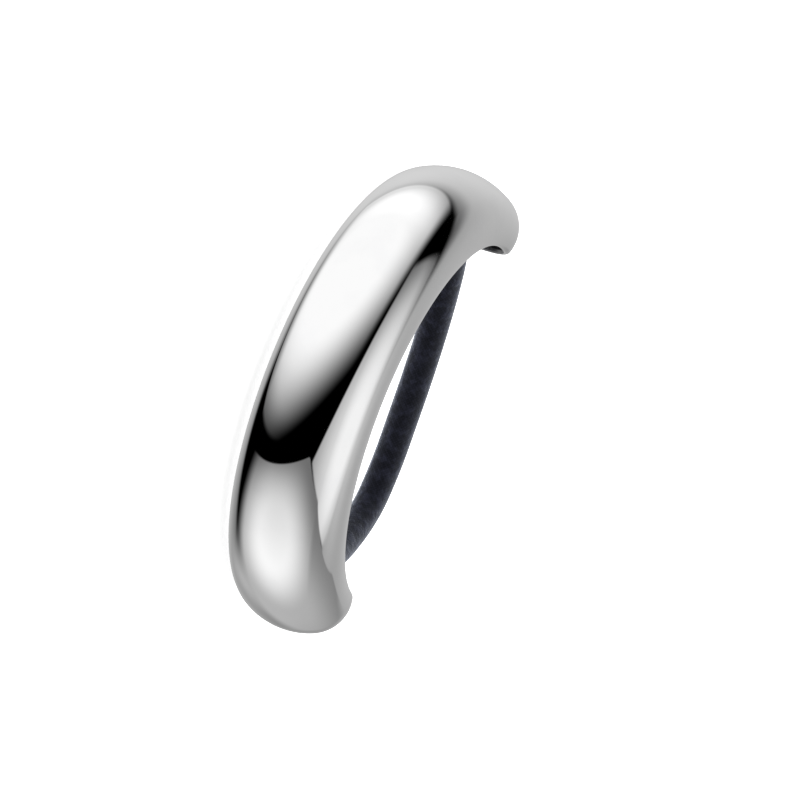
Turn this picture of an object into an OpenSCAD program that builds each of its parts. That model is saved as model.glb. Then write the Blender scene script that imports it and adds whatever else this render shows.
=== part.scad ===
// Ponytail cuff: a domed, C-shaped metal cuff, closed at the back by a round elastic.
// It lies on its side, with the axis of the ring along +Z and the middle of the cuff towards -Y.
// Lengths are in millimetres and angles in degrees.

/* [Cuff] */
// Inside diameter, across the open rim
bore_d = 39.5; // [34:0.5:50]
// Width of the cuff where it is widest
cuff_w = 12.6; // [11:0.2:16]
// Height of the dome above the rim
dome_h = 6.25; // [5.9:0.05:8]
// Radius of the rounded sides of the dome
side_r = 4.2; // [3.4:0.1:4.5]
// Height above the rim of the widest place, under which the sides curl in
side_h = 1.5; // [0.6:0.1:1.8]
// Thickness of the metal
wall = 0.9; // [0.6:0.05:1.2]
// Half of the arc that the cuff covers before its ends round off
half_arc = 87; // [70:1:95]

/* [Elastic] */
// Diameter of the elastic
elastic_d = 3.3; // [2:0.1:3.6]

/* [End cups] */
// How deep the elastic goes into each hidden cup
cup_depth = 3; // [2:0.1:4]
// Thickness of the side of a cup
cup_wall = 0.4; // [0.3:0.05:0.6]
// Thickness of the closed end of a cup
cup_floor = 0.5; // [0.3:0.05:1]
// How far back from the start of the rounded end a cup is seated
cup_back = 10.5; // [8:0.5:16]
// Lean of a cup from the run of the cuff towards the middle of the ring
cup_lean = 40.5; // [30:0.5:50]

/* [Clearances] */
// Gap between a cup and the inside of the dome that it is soldered to
seat_gap = 0.1; // [0.05:0.05:0.3]
// Gap between the elastic and the side and floor of a cup
elastic_gap = 0.05; // [0.05:0.01:0.2]

/* [Hidden] */
$fn = 96;
elastic_sides = 8;

rim_r = bore_d / 2;
mid_z = cuff_w / 2;
// The dome's section is three arcs, each tangent to the next: side, crown and side.
side_x = cuff_w / 2 - side_r;
side_rise = dome_h - side_h;
crown_r = (side_x * side_x + side_rise * side_rise - side_r * side_r) / (2 * (side_rise - side_r));
crown_y = dome_h - crown_r;
// Angle of the start of the rounded end at +X, seen from the ring's axis
end_angle = half_arc - 90;

cup_r = elastic_d / 2 + elastic_gap + cup_wall;
cup_length = cup_floor + elastic_gap + cup_depth;
seat_angle = end_angle - cup_back;
seat_r = rim_r + dome_h - wall - seat_gap;

// The part stands centred on the origin: the front is the crown of the dome,
// and the back is the tip of the rounded ends.
front_y = -(rim_r + dome_h);
back_y = (rim_r + side_h) * sin(end_angle) + side_x * cos(end_angle) + side_r;
centre_y = (front_y + back_y) / 2;

// The elastic's free run from the left end to the right end, from the ring's centre, as it lies
// in a cuff with a bore of 39.5. Another bore stretches it.
free_run = [
    [-19.6, -1.1], [-17.1, 2.1], [-13.4, 4.7], [-9.4, 6.8], [-5.3, 8.5], [-1.1, 9.9], [3.2, 11.2],
    [7.4, 11.6], [10.1, 10.9], [12.5, 9.5], [14.9, 7.4], [16.8, 4.7], [18.8, 0.6]
];
stretch = bore_d / 39.5;

function turned(p, a) = [p.x * cos(a) - p.y * sin(a), p.x * sin(a) + p.y * cos(a)];
// A point on the axis of the right-hand cup, at a height over the outside of its floor
function cup_axis(height) =
    turned([seat_r, 0] + turned([-cup_r, height], cup_lean), seat_angle);
function mirrored(p) = [-p.x, p.y];

elastic_end = cup_axis(cup_floor + elastic_gap);
cup_mouth = cup_axis(cup_length);
elastic_route = concat(
    [mirrored(elastic_end), mirrored(cup_mouth)],
    stretch * free_run,
    [cup_mouth, elastic_end]
);

// The dome's section, with its rim on the X axis. inset moves its arcs inwards by the wall.
module dome_section(inset, foot) {
    wedge = 2 * (dome_h - crown_y) / (side_h - crown_y);
    intersection() {
        union() {
            for (side = [-1, 1])
                translate([side * side_x, side_h])
                    circle(r = side_r - inset);
            translate([-side_x, side_h - side_r + inset])
                square([2 * side_x, side_r - inset]);
            intersection() {
                translate([0, crown_y])
                    circle(r = crown_r - inset);
                polygon([
                    [0, crown_y],
                    [wedge * side_x, crown_y + wedge * (side_h - crown_y)],
                    [-wedge * side_x, crown_y + wedge * (side_h - crown_y)]
                ]);
            }
        }
        translate([-cuff_w, foot])
            square([2 * cuff_w, 2 * dome_h]);
    }
}

// The section of the metal itself: the dome less the hollow inside it
module shell_section() {
    difference() {
        dome_section(0, 0);
        dome_section(wall, -wall);
    }
}

// The section swept round the ring's axis, from the front to where the end rounds off
module half_arc_run() {
    rotate([0, 0, -90])
        rotate_extrude(angle = half_arc)
            translate([rim_r, 0])
                rotate(-90)
                    shell_section();
}

// The rounded end at +X: half the section turned about its own upright middle line
module rounded_end() {
    rotate([0, 0, end_angle])
        translate([rim_r, 0, 0])
            rotate([0, 90, 0])
                rotate_extrude(angle = 180)
                    intersection() {
                        shell_section();
                        square([cuff_w, 2 * dome_h]);
                    }
}

module half_cuff() {
    half_arc_run();
    rounded_end();
}

module cuff() {
    color("silver")
        translate([0, -centre_y, mid_z]) {
            half_cuff();
            mirror([1, 0, 0])
                half_cuff();
        }
}

// Ring of points round one point of the elastic's route, square to the way it runs
function ring(route, i) =
    let (
        before = route[max(i - 1, 0)],
        after = route[min(i + 1, len(route) - 1)],
        along = (after - before) / norm(after - before),
        across = [-along.y, along.x]
    )
    [for (k = [0 : elastic_sides - 1])
        let (turn = 360 * k / elastic_sides, r = elastic_d / 2)
        [route[i].x + r * cos(turn) * across.x, route[i].y + r * cos(turn) * across.y, r * sin(turn)]];

module elastic() {
    n = elastic_sides;
    last = len(elastic_route) - 1;
    points = [for (i = [0 : last]) each ring(elastic_route, i)];
    walls = [for (i = [0 : last - 1], k = [0 : n - 1])
        [i * n + k, i * n + (k + 1) % n, (i + 1) * n + (k + 1) % n, (i + 1) * n + k]];
    first_end = [for (k = [n - 1 : -1 : 0]) k];
    last_end = [for (k = [0 : n - 1]) last * n + k];
    color([0.13, 0.14, 0.18])
        translate([0, -centre_y, mid_z])
            polyhedron(points = points, faces = concat([first_end], walls, [last_end]));
}

// A plain round cup, lying in the hollow of the dome with its back edge on the metal
module end_cup() {
    rotate([0, 0, seat_angle])
        translate([seat_r, 0, 0])
            rotate([0, 0, cup_lean])
                translate([-cup_r, 0, 0])
                    rotate([-90, 0, 0])
                        difference() {
                            cylinder(h = cup_length, r = cup_r);
                            translate([0, 0, cup_floor])
                                cylinder(h = cup_length, r = cup_r - cup_wall);
                        }
}

module end_cup_right() {
    color("lightsteelblue")
        translate([0, -centre_y, mid_z])
            end_cup();
}

module end_cup_left() {
    color("lightsteelblue")
        translate([0, -centre_y, mid_z])
            mirror([1, 0, 0])
                end_cup();
}

cuff();
elastic();
end_cup_left();
end_cup_right();
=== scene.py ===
# %% [markdown]
# # A ponytail cuff in mirror-polished metal
#
# A ponytail cuff is a short, domed band of metal, bent into a C and open on the inside.
# A round elastic closes the C at the back. The hair goes through the ring, and the dome
# covers the place where the elastic is wound.
#
# This lesson dresses a imported model of the cuff. The imported model is the frame: it says
# where each piece is, in metres, with +Z up and the front of the cuff towards -Y. The
# first cell loads that frame.

# %% The frame
import bmesh
import bpy
import math
from mathutils import Matrix, Vector


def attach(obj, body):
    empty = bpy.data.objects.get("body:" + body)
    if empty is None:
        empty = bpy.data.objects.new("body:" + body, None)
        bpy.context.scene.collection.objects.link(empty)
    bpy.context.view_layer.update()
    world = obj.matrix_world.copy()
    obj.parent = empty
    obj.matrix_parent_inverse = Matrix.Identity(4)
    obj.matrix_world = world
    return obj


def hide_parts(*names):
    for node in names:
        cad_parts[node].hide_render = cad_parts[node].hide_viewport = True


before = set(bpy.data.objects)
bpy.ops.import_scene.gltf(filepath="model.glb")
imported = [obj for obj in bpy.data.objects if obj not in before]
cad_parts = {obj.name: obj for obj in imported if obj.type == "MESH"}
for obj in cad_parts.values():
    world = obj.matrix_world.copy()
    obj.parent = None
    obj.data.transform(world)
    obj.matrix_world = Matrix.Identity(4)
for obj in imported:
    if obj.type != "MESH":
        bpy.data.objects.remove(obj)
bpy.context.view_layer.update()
mm = 0.001
print("packed nodes:", sorted(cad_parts))

# %% [markdown]
# ## The camera
#
# A small, shiny thing looks swollen through a short lens, so a long lens stands 1.3 m
# off. It sees the front of the cuff from 16 degrees above the plane of the ring. It is
# also rolled by more than a right angle, because the picture shows the cuff standing on
# one end, and here the cuff lies on its side, where it is stable. The angles and the
# scale come from a fit to the cuff's outline in the picture.
#
# Everything is measured from the centre of the ring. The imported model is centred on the
# box of its metal, so the ring's centre lies 10.41 mm behind the origin, and it is as
# high as half the cuff's width.
#
# A camera looks along its own -Z. to_track_quat points that axis, and one more turn
# about the same axis gives the roll. The columns of the camera's rotation are then the
# picture's right, its up and the way towards the camera, which the studio uses later.
#
# The lens follows from the scale of the picture, in pixels per millimetre. The camera
# doesn't aim at the centre of the ring, but a little beside it, so that the centre comes
# to lie 380 pixels from the left of the picture and 404 from its top.

# %% Camera
ring_centre = Vector((0.0, 10.41, 6.3)) * mm
camera_distance = 1.3
camera_side, camera_rise, camera_roll = 10.14, 16.32, 111.57
picture_side, pixels_per_mm = 800, 9.584
ring_right, ring_down = 380.0, 403.7

side, rise, roll = (math.radians(a) for a in (camera_side, camera_rise, camera_roll))
level = math.cos(rise)
towards_camera = Vector((math.sin(side) * level, -math.cos(side) * level, math.sin(rise)))
camera_turn = (-towards_camera).to_track_quat("-Z", "Y").to_matrix() @ Matrix.Rotation(roll, 3, "Z")
picture_right, picture_up = camera_turn.col[0].copy(), camera_turn.col[1].copy()

camera = bpy.data.objects.new("camera", bpy.data.cameras.new("camera"))
bpy.context.collection.objects.link(camera)
bpy.context.scene.camera = camera
camera.data.sensor_width = 36.0
camera.data.lens = pixels_per_mm * (camera_distance / mm) * camera.data.sensor_width / picture_side
off_right, off_down = picture_side / 2 - ring_right, picture_side / 2 - ring_down
aim = ring_centre + (off_right * picture_right - off_down * picture_up) * mm / pixels_per_mm
camera.location = aim + camera_distance * towards_camera
camera.rotation_mode = "QUATERNION"
camera.rotation_quaternion = camera_turn.to_quaternion()
print("lens in mm:", round(camera.data.lens, 1))

# %% [markdown]
# ## The elastic
#
# The elastic is a rubber core in a fine braided sleeve, 3.3 mm thick. Its two ends are
# held in small cups inside the ends of the cuff. Between them it stands out at the back
# in a lopsided curve, because elastic keeps the bend that it was packed with.
#
# The route is a short list of places in millimetres from the centre of the ring. The
# first two and the last two lie on the axes of the cups. Those between follow the picture
# where it shows the elastic, and carry on its curve where the cuff hides it. A smooth
# curve goes through all of them: at each place it runs the way from the place before to
# the place after, so it has no corner.

# %% The elastic's route
route_places = [
    (-22.19, -6.30), (-20.83, -3.63), (-19.6, -1.1), (-17.1, 2.1), (-13.4, 4.7), (-9.4, 6.8),
    (-5.3, 8.5), (-1.1, 9.9), (3.2, 11.2), (7.4, 11.6), (10.1, 10.9), (12.5, 9.5),
    (14.9, 7.4), (16.8, 4.7), (18.8, 0.6), (20.83, -3.63), (22.19, -6.30),
]
elastic_diameter = 3.3 * mm


def smooth_path(places, steps):
    """Smooth curve through the places, with a number of steps between each two."""
    path = []
    for i in range(len(places) - 1):
        a, b = places[max(i - 1, 0)], places[i]
        c, d = places[i + 1], places[min(i + 2, len(places) - 1)]
        for k in range(steps):
            t = k / steps
            bend = (2 * a - 5 * b + 4 * c - d) * t * t + (3 * b - a - 3 * c + d) * t ** 3
            path.append(b + 0.5 * ((c - a) * t + bend))
    return path + [places[-1]]


elastic_path = smooth_path([ring_centre + Vector((x, y, 0)) * mm for x, y in route_places], 12)

# %% [markdown]
# A bevelled curve would make a tube in one line. Here a circle is carried along the
# route by extruding its open edge, which also gives a clean UV map: U runs once round
# the tube and V runs along it in millimetres, so the braid can follow every bend.

# %% A tube along the route


def finished_piece(name, bm):
    """Put a mesh in the scene as a piece at the origin, and free the bmesh."""
    mesh = bpy.data.meshes.new(name)
    bm.to_mesh(mesh)
    bm.free()
    piece = bpy.data.objects.new(name, mesh)
    bpy.context.collection.objects.link(piece)
    return piece


def placed_across(path, i):
    """The turn and place that set a circle square to a flat path at its point i."""
    along = (path[min(i + 1, len(path) - 1)] - path[max(i - 1, 0)]).normalized()
    up = Vector((0, 0, 1))
    axes = Matrix((up.cross(along), up, along)).transposed()
    return Matrix.Translation(path[i]) @ axes.to_4x4()


def tube_along(name, path, radius, sides):
    """A closed tube along a flat path, with V in millimetres from its first end."""
    bm = bmesh.new()
    uv_map = bm.loops.layers.uv.new("UVMap")
    circle = bmesh.ops.create_circle(bm, cap_ends=True, segments=sides, radius=radius)["verts"]
    circle.sort(key=lambda v: math.atan2(v.co.y, v.co.x))
    around = {v: k for k, v in enumerate(circle)}
    along = {}
    ring, place, run = set(circle), Matrix.Identity(4), 0.0
    for i in range(len(path)):
        if i:
            run += (path[i] - path[i - 1]).length
            rim = [e for e in bm.edges if len(e.link_faces) == 1 and ring.issuperset(e.verts)]
            made = bmesh.ops.extrude_edge_only(bm, edges=rim)["geom"]
            fresh = {g for g in made if isinstance(g, bmesh.types.BMVert)}
            for v in fresh:
                before = next(e.other_vert(v) for e in v.link_edges if e.other_vert(v) in ring)
                around[v] = around[before]
            ring = fresh
        bmesh.ops.transform(bm, matrix=placed_across(path, i) @ place.inverted(), verts=list(ring))
        place = placed_across(path, i)
        along.update((v, run) for v in ring)
    bmesh.ops.holes_fill(bm, edges=[e for e in bm.edges if len(e.link_faces) == 1], sides=0)
    bmesh.ops.recalc_face_normals(bm, faces=bm.faces[:])
    for face in bm.faces:
        face.smooth = len(face.verts) == 4
        seam = max(around[v] for v in face.verts) == sides - 1 and len(face.verts) == 4
        for loop in face.loops:
            k = around[loop.vert]
            loop[uv_map].uv = ((sides if seam and k == 0 else k) / sides, along[loop.vert] / mm)
    return finished_piece(name, bm)


elastic = tube_along("elastic_strand", elastic_path, elastic_diameter / 2, sides=48)
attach(elastic, "root")
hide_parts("elastic")
print("elastic, faces:", len(elastic.data.polygons))

# %% [markdown]
# ## The dome's section
#
# The real cuff is pressed from sheet. Cut across, it is a dome of three arcs: a flat one
# over the crown, and a tight one at each side, which curls in under its widest place. The
# edge of the sheet is rounded over, so that it doesn't pull the hair.
#
# A subdivided cage could give this shape, but a mirror finish shows each dent in it.
# Exact arcs are better: one vertex is spun about the centre of each arc in turn. The
# section stands in the XZ plane, with its heights along X from the axis of the ring.
#
# The side arcs are given. The radius of the crown isn't: it is the one with which the
# crown reaches its height and runs into both side arcs without a corner.

# %% Half of the section
rim_radius = 19.75 * mm
dome_height = 6.25 * mm
side_radius = 4.2 * mm
side_height = 1.5 * mm
side_across = 2.1 * mm
wall = 0.9 * mm
merge_within = 0.001 * mm

side_rise = dome_height - side_height
crown_radius = (side_across ** 2 + side_rise ** 2 - side_radius ** 2) / (2 * (side_rise - side_radius))
crown_centre = Vector((rim_radius + dome_height - crown_radius, 0, 0))
side_centre = Vector((rim_radius + side_height, 0, side_across))
crown_turn = math.atan2(side_across, side_centre.x - crown_centre.x)


def arc(bm, vertex, centre, turn, steps):
    """Spin one vertex about a centre, in the plane of the section, and return the last one."""
    made = bmesh.ops.spin(bm, geom=[vertex], cent=centre, axis=(0, 1, 0), angle=turn, steps=steps,
                          use_merge=False, use_normal_flip=False, use_duplicate=False)
    return next(g for g in made["geom_last"] if isinstance(g, bmesh.types.BMVert))


def half_section(bm, crown_steps=16, side_steps=54, lip_steps=16):
    """Crown outside, side outside, round the lip, side inside and crown inside."""
    lip_radius = wall / 2
    lip_turn = math.asin((side_height - lip_radius) / (side_radius - lip_radius))
    side_turn = math.pi / 2 - crown_turn + lip_turn
    top = bm.verts.new((rim_radius + dome_height, 0, 0))
    shoulder = arc(bm, top, crown_centre, -crown_turn, crown_steps)
    lip = arc(bm, shoulder, side_centre, -side_turn, side_steps)
    lip_centre = lip.co.lerp(side_centre, lip_radius / side_radius)
    inner_lip = arc(bm, lip, lip_centre, -math.pi, lip_steps)
    inner_shoulder = arc(bm, inner_lip, side_centre, side_turn, side_steps)
    arc(bm, inner_shoulder, crown_centre, crown_turn, crown_steps)


print("crown, radius in mm:", round(crown_radius / mm, 2))

# %% [markdown]
# ## The shell of the cuff
#
# The section runs round the ring for 174 degrees. At each end, half of the section turns
# about its own middle line, which closes the dome like the end of a pod.
#
# Both are spins, about different axes through the centre of the ring, so one helper does
# them all.
#
# The inside of the dome is hidden in the picture and taken to be unpolished, so its
# faces take a second material. They are the faces that look towards the middle of the
# dome. That material is also darker than unpolished metal is: this is painted shade for
# the hollow under the dome.

# %% Spins and inner faces
half_arc = math.radians(87)
front = -math.pi / 2


def vertices(geometry):
    """The vertices among the vertices and edges that an operator returned."""
    return [g for g in geometry if isinstance(g, bmesh.types.BMVert)]


def spin_about_ring_centre(bm, geometry, axis, turn, steps):
    """Spin edges about an axis through the centre of the ring, which is still at the origin."""
    bmesh.ops.spin(bm, geom=geometry, cent=(0, 0, 0), axis=axis, angle=turn, steps=steps,
                   use_merge=False, use_normal_flip=False, use_duplicate=False)


def mark_inside(bm, first, last):
    """Give the second material to the faces that look towards the middle of the dome."""
    for face in bm.faces:
        place = face.calc_center_median()
        angle = math.atan2(place.y, place.x)
        angle = angle if angle < math.pi / 2 else angle - 2 * math.pi
        angle = min(max(angle, first), last)
        middle = (rim_radius + side_height) * Vector((math.cos(angle), math.sin(angle), 0))
        face.material_index = int(face.normal.dot(place - middle) < 0)


# %% [markdown]
# The long run and its two ends are spun apart. They meet where the run stops, and there
# their vertices fall on each other and are merged. A closed shell has two faces at each
# edge, so the count of other edges shows whether it is closed.

# %% Shell
def cuff_shell(name, run_steps, end_steps):
    """The whole shell, with a number of steps along the run and round each end."""
    bm = bmesh.new()
    half_section(bm)
    half = bm.verts[:] + bm.edges[:]
    ends = [bmesh.ops.duplicate(bm, geom=half)["geom"] for _ in range(2)]
    other_half = bmesh.ops.duplicate(bm, geom=half)["geom"]
    bmesh.ops.scale(bm, vec=(1, 1, -1), verts=vertices(other_half))

    first, last = front - half_arc, front + half_arc
    section = half + other_half
    turn = Matrix.Rotation(first, 3, "Z")
    bmesh.ops.rotate(bm, verts=vertices(section), cent=(0, 0, 0), matrix=turn)
    spin_about_ring_centre(bm, section, (0, 0, 1), last - first, run_steps)
    for end, angle, way in zip(ends, (first, last), (1, -1)):
        turn = Matrix.Rotation(angle, 3, "Z")
        bmesh.ops.rotate(bm, verts=vertices(end), cent=(0, 0, 0), matrix=turn)
        outwards = (math.cos(angle), math.sin(angle), 0)
        spin_about_ring_centre(bm, end, outwards, way * math.pi, end_steps)

    bmesh.ops.remove_doubles(bm, verts=bm.verts[:], dist=merge_within)
    bmesh.ops.delete(bm, geom=[e for e in bm.edges if not e.link_faces], context="EDGES")
    bmesh.ops.recalc_face_normals(bm, faces=bm.faces[:])
    open_edges = sum(len(e.link_faces) != 2 for e in bm.edges)
    print(name, "faces:", len(bm.faces), "open edges:", open_edges)
    print(name, "metal in mm3:", round(bm.calc_volume() / mm ** 3, 1))

    mark_inside(bm, first, last)
    for face in bm.faces:
        face.smooth = True
    bmesh.ops.translate(bm, vec=ring_centre, verts=bm.verts[:])
    return finished_piece(name, bm)


cuff = cuff_shell("cuff_shell", run_steps=116, end_steps=60)
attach(cuff, "root")
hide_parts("cuff")
print("faces inside the dome:", sum(face.material_index for face in cuff.data.polygons))

# %% [markdown]
# ## The end cups
#
# The picture hides how the ends of the elastic are held. A common way is a small round
# cup, drawn from sheet, soldered under the dome and crimped on to the elastic, and that
# is what is made here.
#
# A cup is turned: its outline is a chain of vertices, and a full spin closes it. The
# outline starts and ends on the axis, so both poles close when the doubles are merged.
# A narrow bevel softens its corners.

# %% A turned cup
cup_radius, cup_bore, cup_floor, cup_length = 2.1 * mm, 1.7 * mm, 0.5 * mm, 3.55 * mm
crimp_height, crimp_width, crimp_depth = 2.2 * mm, 0.5 * mm, 0.12 * mm
cup_sides, softened_edge = 64, 0.08 * mm


def turned_cup():
    """A crimped cup that stands on the origin, with its mouth up."""
    outline = [
        (0, 0), (cup_radius, 0), (cup_radius, crimp_height - crimp_width),
        (cup_radius - crimp_depth, crimp_height - crimp_width / 4),
        (cup_radius - crimp_depth, crimp_height + crimp_width / 4),
        (cup_radius, crimp_height + crimp_width), (cup_radius, cup_length), (cup_bore, cup_length),
        (cup_bore, cup_floor), (0, cup_floor),
    ]
    bm = bmesh.new()
    vertex = bm.verts.new((outline[0][0], 0, outline[0][1]))
    for r, h in outline[1:]:
        vertex = bmesh.ops.extrude_vert_indiv(bm, verts=[vertex])["verts"][0]
        vertex.co = (r, 0, h)
    bmesh.ops.spin(bm, geom=bm.verts[:] + bm.edges[:], cent=(0, 0, 0), axis=(0, 0, 1),
                   angle=2 * math.pi, steps=cup_sides, use_merge=True, use_normal_flip=False,
                   use_duplicate=False)
    bmesh.ops.remove_doubles(bm, verts=bm.verts[:], dist=merge_within)
    bmesh.ops.recalc_face_normals(bm, faces=bm.faces[:])
    corners = [e for e in bm.edges if e.calc_face_angle() > math.radians(60)]
    bmesh.ops.bevel(bm, geom=corners, offset=softened_edge, offset_type="OFFSET", segments=3,
                    profile=0.5, affect="EDGES", clamp_overlap=True, material=-1)
    for face in bm.faces:
        face.smooth = len(face.verts) == 4
    return bm


# %% [markdown]
# The cup is leaned over and set down inside the right end of the cuff. The left cup is
# its mirror image. A negative scale turns a mesh inside out, so its normals are
# recalculated.

# %% Both cups
seat_turn, seat_radius, cup_lean = math.radians(-13.5), 25.0 * mm, math.radians(40.5)


def end_cup(name, way):
    """A cup in its seat. way is 1 for the right end of the cuff and -1 for the left."""
    bm = turned_cup()
    lean = seat_turn + cup_lean
    along_x, along_y = math.cos(lean), math.sin(lean)
    base = Vector((seat_radius * math.cos(seat_turn) - cup_radius * along_x,
                   seat_radius * math.sin(seat_turn) - cup_radius * along_y, 0))
    axes = Matrix(((along_x, 0, -along_y), (along_y, 0, along_x), (0, -1, 0)))
    bmesh.ops.transform(bm, matrix=Matrix.Translation(base) @ axes.to_4x4(), verts=bm.verts[:])
    bmesh.ops.scale(bm, vec=(way, 1, 1), verts=bm.verts[:])
    bmesh.ops.recalc_face_normals(bm, faces=bm.faces[:])
    bmesh.ops.translate(bm, vec=ring_centre, verts=bm.verts[:])
    return finished_piece(name, bm)


cups = {}
for end, way in (("left", -1), ("right", 1)):
    cup = end_cup("crimped_cup_" + end, way)
    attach(cup, "root")
    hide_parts("end_cup_" + end)
    cups[end] = cup
    print(cup.name, "faces:", len(cup.data.polygons))

# %% [markdown]
# ## Helpers for node trees
#
# Each finish below is a small node tree. A few helpers keep them short. Each makes a
# group or a material, or adds one node, and returns the sockets that come next.

# %% Helpers


def node_group(name, inputs, outputs):
    """A shader group with named sockets. Inputs are (name, kind, value), outputs (name, kind)."""
    group = bpy.data.node_groups.new(name, "ShaderNodeTree")
    for label, kind, value in inputs:
        socket = group.interface.new_socket(label, in_out="INPUT", socket_type="NodeSocket" + kind)
        socket.default_value = value
    for label, kind in outputs:
        group.interface.new_socket(label, in_out="OUTPUT", socket_type="NodeSocket" + kind)
    return group, group.nodes.new("NodeGroupInput").outputs, group.nodes.new("NodeGroupOutput").inputs


def feed(tree, socket, value):
    """Link a socket to another, or give it a plain value."""
    if isinstance(value, bpy.types.NodeSocket):
        tree.links.new(value, socket)
    else:
        socket.default_value = value


def calc(tree, operation, *values):
    """Add a Math node. Each value is a number or the socket of another node."""
    node = tree.nodes.new("ShaderNodeMath")
    node.operation = operation
    for socket, value in zip(node.inputs, values):
        feed(tree, socket, value)
    return node.outputs[0]


def ranged(tree, value, low, high, to_low, to_high, interpolation="SMOOTHSTEP"):
    """Map a value from one range to another, without going past its ends."""
    node = tree.nodes.new("ShaderNodeMapRange")
    node.interpolation_type = interpolation
    for label, given in (("Value", value), ("From Min", low), ("From Max", high),
                         ("To Min", to_low), ("To Max", to_high)):
        feed(tree, node.inputs[label], given)
    return node.outputs["Result"]


def placed_group(tree, group, **values):
    """Place a group in a tree, with values for its inputs."""
    node = tree.nodes.new("ShaderNodeGroup")
    node.node_tree = group
    for label, value in values.items():
        feed(tree, node.inputs[label.replace("_", " ")], value)
    return node.outputs


def new_material(name):
    """A material, its node tree and the inputs of its Principled BSDF."""
    material = bpy.data.materials.new(name)
    material.use_nodes = True
    tree = material.node_tree
    return material, tree, tree.nodes["Principled BSDF"].inputs


# %% [markdown]
# ## Handling marks
#
# No metal that has been worn is quite even. A polished one has a faint haze where it is
# touched, very fine hairlines in all directions, and a slight waviness from the polishing
# wheel, which is what makes the dark reflections on the cuff look hand-made.
#
# All three come from noise on Object coordinates, so the marks have a size in metres and
# stay on the metal when it turns. The group gives a haze mask and a height, and each
# metal takes as much of them as it needs.

# %% Handling marks
hairline_spacing, wave_length = 0.25 * mm, 5 * mm
marks, given, result = node_group(
    "Handling marks",
    [("Vector", "Vector", (0, 0, 0)), ("Haze size", "Float", 3 * mm), ("Hairlines", "Float", 0.3)],
    [("Haze", "Float"), ("Height", "Float")],
)


def noise(tree, vector, scale, detail=2.0, stretch=(1, 1, 1), turn=(0, 0, 0)):
    """Noise of a given scale, stretched and turned by a Mapping node."""
    place = tree.nodes.new("ShaderNodeMapping")
    feed(tree, place.inputs["Vector"], vector)
    place.inputs["Scale"].default_value = stretch
    place.inputs["Rotation"].default_value = turn
    node = tree.nodes.new("ShaderNodeTexNoise")
    node.inputs["Detail"].default_value = detail
    feed(tree, node.inputs["Scale"], scale)
    tree.links.new(place.outputs["Vector"], node.inputs["Vector"])
    return node.outputs["Fac"]


haze_scale = calc(marks, "DIVIDE", 1.0, given["Haze size"])
haze = ranged(marks, noise(marks, given["Vector"], haze_scale, 4.0), 0.45, 0.7, 0.0, 1.0)
lines = None
for turn in ((0.3, 0.2, 0.5), (1.1, 0.7, 2.0), (2.0, 1.4, 0.9)):
    streak = noise(marks, given["Vector"], 1 / hairline_spacing, 1.0, stretch=(1, 0.04, 1), turn=turn)
    streak = ranged(marks, streak, 0.68, 0.74, 0.0, 1.0)
    lines = streak if lines is None else calc(marks, "MAXIMUM", lines, streak)
lines = calc(marks, "MULTIPLY", lines, given["Hairlines"])
waviness = noise(marks, given["Vector"], 1 / wave_length, 1.0)
marks.links.new(calc(marks, "MAXIMUM", haze, lines), result["Haze"])
scratches = calc(marks, "MULTIPLY", lines, 0.02)
marks.links.new(calc(marks, "SUBTRACT", waviness, scratches), result["Height"])
print("handling marks, nodes:", len(marks.nodes))

# %% [markdown]
# ## The metals
#
# Polished plating is a Principled BSDF with Metallic at 1: it has no colour of its own
# but what it mirrors, so the base colour is almost white and only a little roughness is
# left. The haze raises the roughness slightly. The bump is a few thousandths of a
# millimetre, because on a mirror even that bends the reflections.
#
# The inside of the dome and the cups are given the look of metal as it comes from the
# press: greyer, with a satin blur and deeper marks. The inside of the dome is darker
# still, which is painted shade for its hollow. One function makes all three metals, each
# with its own numbers.

# %% Metals


def marked_metal(name, colour, marked_colour, smooth, rough, haze_size, hairlines, wave_height):
    """Metal whose haze lifts the roughness from smooth to rough and shades the colour."""
    material, tree, shader = new_material(name)
    place = tree.nodes.new("ShaderNodeTexCoord").outputs["Object"]
    out = placed_group(tree, marks, Vector=place, Haze_size=haze_size, Hairlines=hairlines)
    tint = tree.nodes.new("ShaderNodeMix")
    tint.data_type = "RGBA"
    tint.inputs["A"].default_value = (*colour, 1)
    tint.inputs["B"].default_value = (*marked_colour, 1)
    tree.links.new(out["Haze"], tint.inputs["Factor"])
    tree.links.new(tint.outputs["Result"], shader["Base Color"])
    feed(tree, shader["Roughness"], ranged(tree, out["Haze"], 0.0, 1.0, smooth, rough, "LINEAR"))
    shader["Metallic"].default_value = 1.0
    bump = tree.nodes.new("ShaderNodeBump")
    bump.inputs["Strength"].default_value = 1.0
    bump.inputs["Distance"].default_value = wave_height
    tree.links.new(out["Height"], bump.inputs["Height"])
    tree.links.new(bump.outputs["Normal"], shader["Normal"])
    return material


polished = marked_metal(
    "polished_plating", colour=(0.985, 0.985, 0.985), marked_colour=(0.965, 0.965, 0.968),
    smooth=0.015, rough=0.05, haze_size=4 * mm, hairlines=0.3, wave_height=0.01 * mm)
# The inside of the dome: satin metal, with its colour darkened as painted shade for the hollow.
pressed_and_shaded_satin = marked_metal(
    "pressed_satin_and_painted_shade", colour=(0.31, 0.31, 0.32), marked_colour=(0.25, 0.25, 0.26),
    smooth=0.3, rough=0.42, haze_size=1.5 * mm, hairlines=1.0, wave_height=0.015 * mm)
drawn = marked_metal(
    "drawn_cup_satin", colour=(0.62, 0.62, 0.63), marked_colour=(0.5, 0.5, 0.51),
    smooth=0.25, rough=0.4, haze_size=1 * mm, hairlines=1.0, wave_height=0.01 * mm)
inside_faces = [face.material_index for face in cuff.data.polygons]
cuff.data.materials.append(polished)
cuff.data.materials.append(pressed_and_shaded_satin)
cuff.data.polygons.foreach_set("material_index", inside_faces)
for cup in cups.values():
    cup.data.materials.append(drawn)
print("metals:", polished.name, pressed_and_shaded_satin.name, drawn.name)

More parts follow.
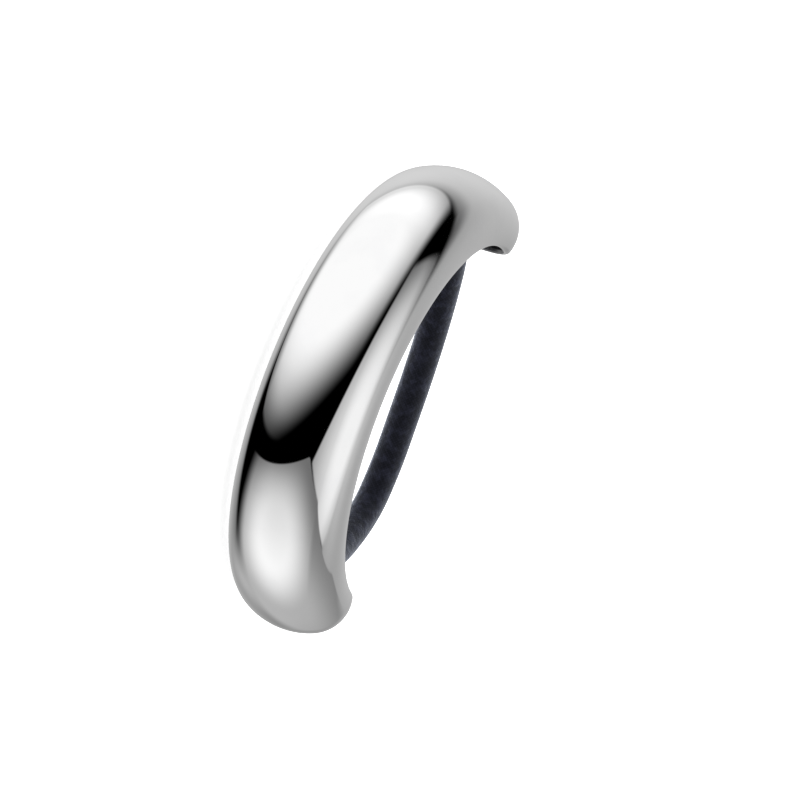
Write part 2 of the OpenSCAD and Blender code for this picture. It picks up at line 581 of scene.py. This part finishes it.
# %% [markdown]
# ## The braided sleeve
#
# The sleeve is braided from fine yarn that runs round the core both ways. Each yarn goes
# over one that crosses it and under the next, so from a distance there is only a soft,
# even grain.
#
# The UV map of the tube makes this simple. The sum and the difference of U and V count
# the yarns of the two directions. Where the two counts add up to an even number the first
# yarn is on top, and elsewhere the second one is. The two counts are also mixed, and the
# fraction of the result gives each crossing a tone of its own.

# %% Braid
braid, given, result = node_group(
    "Braid",
    [("Vector", "Vector", (0, 0, 0)), ("Yarns round", "Float", 30.0),
     ("Yarns per mm", "Float", 2.9)],
    [("Height", "Float"), ("Yarn tone", "Float")],
)
split = braid.nodes.new("ShaderNodeSeparateXYZ")
braid.links.new(given["Vector"], split.inputs["Vector"])
round_count = calc(braid, "MULTIPLY", split.outputs["X"], given["Yarns round"])
along_count = calc(braid, "MULTIPLY", split.outputs["Y"], given["Yarns per mm"])
counts = [calc(braid, way, round_count, along_count) for way in ("ADD", "SUBTRACT")]
numbers = [calc(braid, "FLOOR", c) for c in counts]
across = [calc(braid, "FRACT", c) for c in counts]
arches = [calc(braid, "SINE", calc(braid, "MULTIPLY", a, math.pi)) for a in across]
odd = calc(braid, "PINGPONG", calc(braid, "ADD", *numbers), 1.0)
first_on_top = calc(braid, "LESS_THAN", odd, 0.5)


def yarn(over, under):
    """Height of a yarn: arched across its width, and highest in the middle of its crossing."""
    crossing = calc(braid, "MULTIPLY_ADD", arches[under], 0.4, 0.6)
    return calc(braid, "MULTIPLY", arches[over], crossing)


tops = [calc(braid, "MULTIPLY", first_on_top, yarn(0, 1)),
        calc(braid, "MULTIPLY", calc(braid, "SUBTRACT", 1.0, first_on_top), yarn(1, 0))]
braid.links.new(calc(braid, "ADD", *tops), result["Height"])
second_share = calc(braid, "MULTIPLY", numbers[1], 3.1)
mixed_numbers = calc(braid, "MULTIPLY_ADD", numbers[0], 7.3, second_share)
scattered = calc(braid, "MULTIPLY", mixed_numbers, 0.618)
braid.links.new(calc(braid, "FRACT", scattered), result["Yarn tone"])
print("braid, nodes:", len(braid.nodes))

# %% [markdown]
# The yarn is a very dark navy. Its colour is painted lighter on top of each crossing and
# darker in the gaps between the yarns, as painted shade. Short fibres stand up from it in
# tufts, which mottle the colour and raise the surface a little. At a glancing angle they
# catch the light. That is what the sheen of the Principled BSDF is for: it greys both
# edges of the tube.

# %% Sleeve
tuft_size = 0.8 * mm
sleeve, tree, shader = new_material("braided_sleeve")
uv = tree.nodes.new("ShaderNodeTexCoord").outputs["UV"]
weave = placed_group(tree, braid, Vector=uv)
place = tree.nodes.new("ShaderNodeTexCoord").outputs["Object"]
fluff = ranged(tree, noise(tree, place, 1 / tuft_size, 4.0), 0.4, 0.7, 0.0, 1.0)
# The braid's height lightens the tops of the crossings and darkens the gaps: painted shade.
tone = calc(tree, "MULTIPLY", weave["Height"], 0.3)
tone = calc(tree, "MULTIPLY_ADD", weave["Yarn tone"], 0.2, tone)
tone = calc(tree, "MULTIPLY_ADD", fluff, 0.5, tone)
shade = tree.nodes.new("ShaderNodeMix")
shade.data_type = "RGBA"
shade.inputs["A"].default_value = (0.0002, 0.0003, 0.0010, 1)
shade.inputs["B"].default_value = (0.026, 0.028, 0.048, 1)
tree.links.new(tone, shade.inputs["Factor"])
tree.links.new(shade.outputs["Result"], shader["Base Color"])
shader["Roughness"].default_value = 0.85
shader["Specular IOR Level"].default_value = 0.1
shader["Sheen Weight"].default_value = 1.0
shader["Sheen Roughness"].default_value = 0.4
shader["Sheen Tint"].default_value = (0.82, 0.88, 1.0, 1)
bump = tree.nodes.new("ShaderNodeBump")
bump.inputs["Strength"].default_value = 0.6
bump.inputs["Distance"].default_value = 0.06 * mm
fuzzy_height = calc(tree, "MULTIPLY_ADD", weave["Height"], 0.25, fluff)
tree.links.new(fuzzy_height, bump.inputs["Height"])
tree.links.new(bump.outputs["Normal"], shader["Normal"])
elastic.data.materials.append(sleeve)
print("sleeve:", sleeve.name)

# %% [markdown]
# ## The floor
#
# The floor is plain and almost white. It also glows a little, like the lit table that
# small things are often photographed on, which keeps the shadow beside the cuff light.
# The mirror doesn't show it: what the cuff reflects is the studio of the next cell.

# %% Floor
floor_half_side = 2.5
bm = bmesh.new()
bmesh.ops.create_grid(bm, x_segments=1, y_segments=1, size=floor_half_side)
floor = finished_piece("floor", bm)
floor.visible_glossy = False
pale, tree, shader = new_material("pale_floor")
shader["Base Color"].default_value = (0.93, 0.93, 0.93, 1)
shader["Roughness"].default_value = 0.9
shader["Specular IOR Level"].default_value = 0.0
shader["Emission Color"].default_value = (1.0, 1.0, 1.0, 1)
shader["Emission Strength"].default_value = 0.7
floor.data.materials.append(pale)
print("floor, side in m:", 2 * floor_half_side)

# %% [markdown]
# ## The studio
#
# A mirror has no look of its own, so the studio is most of the picture. It holds four
# things: a pale wall behind, a pale table, a large soft light overhead, and a white card
# at the side. Between them it is dark, and those gaps draw the black bands on the cuff.
#
# Lamps and cards could be built as objects. Here they are painted on the world by
# direction, because a card that is far away has no parallax: each edge of it is then a
# circle on the sky, and one group can draw it. The group gives 1 on the card's side of
# the circle and 0 on the other, with an edge as soft as the card needs. The same group
# draws pools of light, which are only circles with a very soft edge.
#
# Directions are in degrees as the camera has them: first how far towards the picture's
# right, from the camera itself, and then how far up. An edge is such a direction, the
# angle above its equator at which the card starts, and the width over which it fades in.

# %% A card's edge
edge_group, given, result = node_group(
    "Card edge",
    [("Direction", "Vector", (0, 0, 1)), ("Pole", "Vector", (0, 0, 1)),
     ("Edge", "Float", 0.0), ("Softness", "Float", 5.0)],
    [("Mask", "Float")],
)
dot = edge_group.nodes.new("ShaderNodeVectorMath")
dot.operation = "DOT_PRODUCT"
edge_group.links.new(given["Direction"], dot.inputs[0])
edge_group.links.new(given["Pole"], dot.inputs[1])
above = calc(edge_group, "DEGREES", calc(edge_group, "ARCSINE", dot.outputs["Value"]))
half_soft = calc(edge_group, "MULTIPLY", given["Softness"], 0.5)
mask = ranged(edge_group, above, calc(edge_group, "SUBTRACT", given["Edge"], half_soft),
              calc(edge_group, "ADD", given["Edge"], half_soft), 0.0, 1.0)
edge_group.links.new(mask, result["Mask"])
print("card edge, nodes:", len(edge_group.nodes))

# %% [markdown]
# A card is what lies inside all of its edges. It is painted over whatever is behind it,
# so the cards are mixed one after the other, from the farthest to the nearest. The light
# of a card is an even base and the pools on top of it.

# %% Painting cards
world = bpy.data.worlds.new("studio")
bpy.context.scene.world = world
world.use_nodes = True
sky = world.node_tree
sight = sky.nodes.new("ShaderNodeTexCoord").outputs["Generated"]


def towards(right, up):
    """A direction in the scene, from degrees to the right and up as the camera has them."""
    right, up = math.radians(right), math.radians(up)
    flat = math.sin(right) * picture_right + math.cos(right) * towards_camera
    return math.cos(up) * flat + math.sin(up) * picture_up


def card_edge(right, up, edge, softness):
    """1 on the side of a circle that is nearer to its direction, and 0 on the other side."""
    return placed_group(sky, edge_group, Direction=sight, Pole=towards(right, up),
                        Edge=float(edge), Softness=float(softness))["Mask"]


def inside_all(edges):
    """1 in the directions that are on the card's side of all of these edges."""
    inside = 1.0
    for edge in edges:
        inside = calc(sky, "MULTIPLY", card_edge(*edge), inside)
    return inside


def card(behind, edges, base, pools, corner=None):
    """Paint a card over what is behind it, without the corner that other edges cut out.

    A pool is an edge and the light that it adds to the base on its own side.
    """
    cut = inside_all(edges)
    if corner:
        cut = calc(sky, "MULTIPLY", cut, calc(sky, "SUBTRACT", 1.0, inside_all(corner)))
    light = base
    for pool in pools:
        light = calc(sky, "MULTIPLY_ADD", card_edge(*pool[:4]), pool[4], light)
    mix = sky.nodes.new("ShaderNodeMix")
    feed(sky, mix.inputs["Factor"], cut)
    feed(sky, mix.inputs["A"], behind)
    feed(sky, mix.inputs["B"], light)
    return mix.outputs["Result"]


# %% [markdown]
# The cards' numbers weren't chosen by eye. A search compared the reflections on the dome
# with those in the picture, and its results were rounded.

# %% The four cards
dark = 0.0
wall_behind = card(
    dark, base=0.03,
    edges=[(151, 13, 4.5, 11.5), (-173, -21, -4, 7.5), (165, -40, -3, 6)],
    pools=[(-177, 31, 44.5, 88, 0.6), (-147, -26, 81, 19.5, 0.25), (94, -30, 77, 182, 0.8),
           (170, -23, 17.5, 13, 0.18), (153, -31, -7.5, 10.5, -0.15)])
with_table = card(
    wall_behind, base=0.03,
    edges=[(173, -62, 3.5, 1), (10, -62, 2.5, 12), (-120, -22, -2, 1)],
    pools=[(-79, -54, 58, 33, 0.56), (-143, -41, 44, 70, 0.43), (58, -12, -1, 39, 0.13)],
    corner=[(32, 49.5, -31, 1), (64, 55, -19, 1)])
with_overhead = card(
    with_table, base=0.88,
    edges=[(-53, 66, 34.5, 46), (-80, 38, -1.5, 8.5), (-23, 55, 17, 3), (-64, 38, -31, 14)],
    pools=[(-3, 53, 12, 21.5, 0.55), (-34, 16, -2.5, 22, -0.45)])
studio = card(
    with_overhead, base=0.0,
    edges=[(107, -37, 3.5, 2.5), (59, 17, 7.5, 2.5), (0, 1, -4.5, 7.5), (28, -35, 8.5, 6.5)],
    pools=[(58, -32, 46.5, 66, 0.76), (-2, 2, 3, 15.5, 0.14)])
print("nodes in the studio:", len(sky.nodes))

# %% [markdown]
# Only the mirror sees those cards. The elastic and the floor are lit by one wide soft
# light that hangs over them and leans away from the camera, and the pale floor sends it
# back from below. So both edges of the elastic are lit and its middle stays dark. A Light
# Path node tells the two apart. The Standard view transform keeps white as white.

# %% Soft light
light_lean, light_strength, dim_surroundings = 0.6, 3.4, 0.04
light_axis = (Vector((0, 0, 1)) - light_lean * towards_camera).normalized()
disc = placed_group(sky, edge_group, Direction=sight, Pole=light_axis,
                    Edge=45.0, Softness=30.0)["Mask"]
soft_light = calc(sky, "MULTIPLY_ADD", disc, light_strength, dim_surroundings)
ray = sky.nodes.new("ShaderNodeLightPath").outputs
choice = sky.nodes.new("ShaderNodeMix")
feed(sky, choice.inputs["Factor"], ray["Is Glossy Ray"])
feed(sky, choice.inputs["A"], soft_light)
feed(sky, choice.inputs["B"], studio)
backdrop = sky.nodes["Background"]
sky.links.new(choice.outputs["Result"], backdrop.inputs["Color"])
bpy.context.scene.view_settings.view_transform = "Standard"
print("soft light, direction:", [round(v, 2) for v in light_axis])
